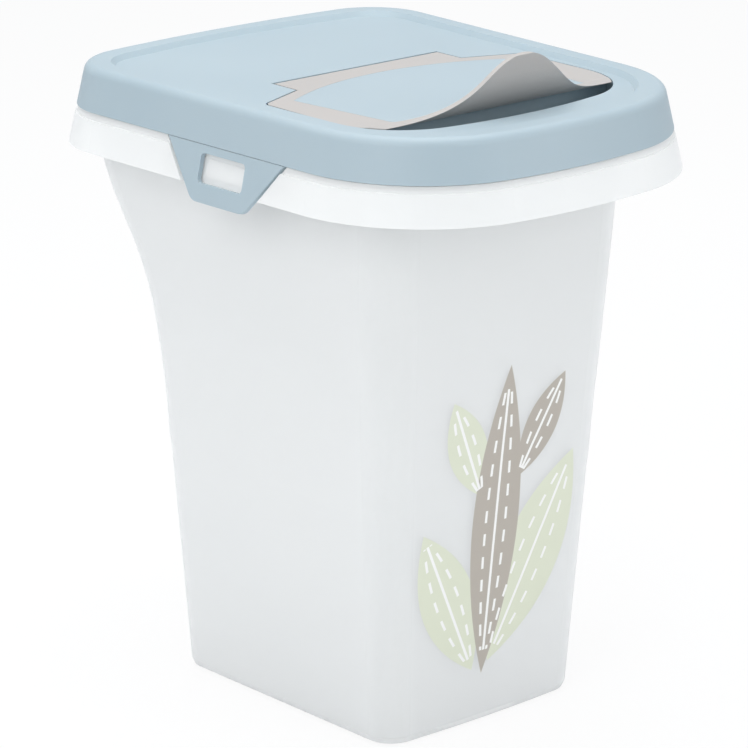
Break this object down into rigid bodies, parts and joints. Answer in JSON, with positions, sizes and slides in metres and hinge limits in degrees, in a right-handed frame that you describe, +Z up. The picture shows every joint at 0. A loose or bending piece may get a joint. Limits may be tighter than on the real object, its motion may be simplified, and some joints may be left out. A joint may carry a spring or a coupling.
{
  "type": "pet food storage container",
  "caption": "Tapered translucent tub with a lift-off lid, side latches and a hinged pour flap with a curled finger lip, for keeping dry pet food.",
  "frame": {"origin": "centre of the bounding box, on the floor", "axes": "+Z up, -Y front (pour flap lip), +X right side seen from the front"},
  "size_m": [0.2076, 0.2578, 0.3132],
  "materials": {
    "tub": "frosted translucent, moulded satin",
    "lid": "satin moulded, pale blue",
    "flap_frame": "satin moulded, warm grey",
    "flap_panel": "satin moulded, pale blue"
  },
  "bodies": {
    "tub": {"tub": "tub"},
    "lid": {"lid": "lid"},
    "flap": {"flap_frame": "flap_frame", "flap_panel": "flap_panel"},
    "latch_left": {"latch_left": "lid"},
    "latch_right": {"latch_right": "lid"}
  },
  "joints": [
    {"name": "lid_lift", "type": "slide", "parent": "tub", "child": "lid", "axis": [0, 0, 1], "range_m": [0, 0.08]},
    {"name": "flap_hinge", "type": "hinge", "parent": "lid", "child": "flap", "pos_m": [0, 0.014, 0.2846], "axis": [-1, 0, 0], "range_deg": [0, 105]},
    {"name": "latch_left_flex", "type": "hinge", "parent": "lid", "child": "latch_left", "pos_m": [-0.0972, -0.005, 0.2708], "axis": [-0.0311, 0.9995, 0], "range_deg": [0, 20]},
    {"name": "latch_right_flex", "type": "hinge", "parent": "lid", "child": "latch_right", "pos_m": [0.0972, -0.005, 0.2708], "axis": [-0.0311, -0.9995, 0], "range_deg": [0, 20]}
  ]
}
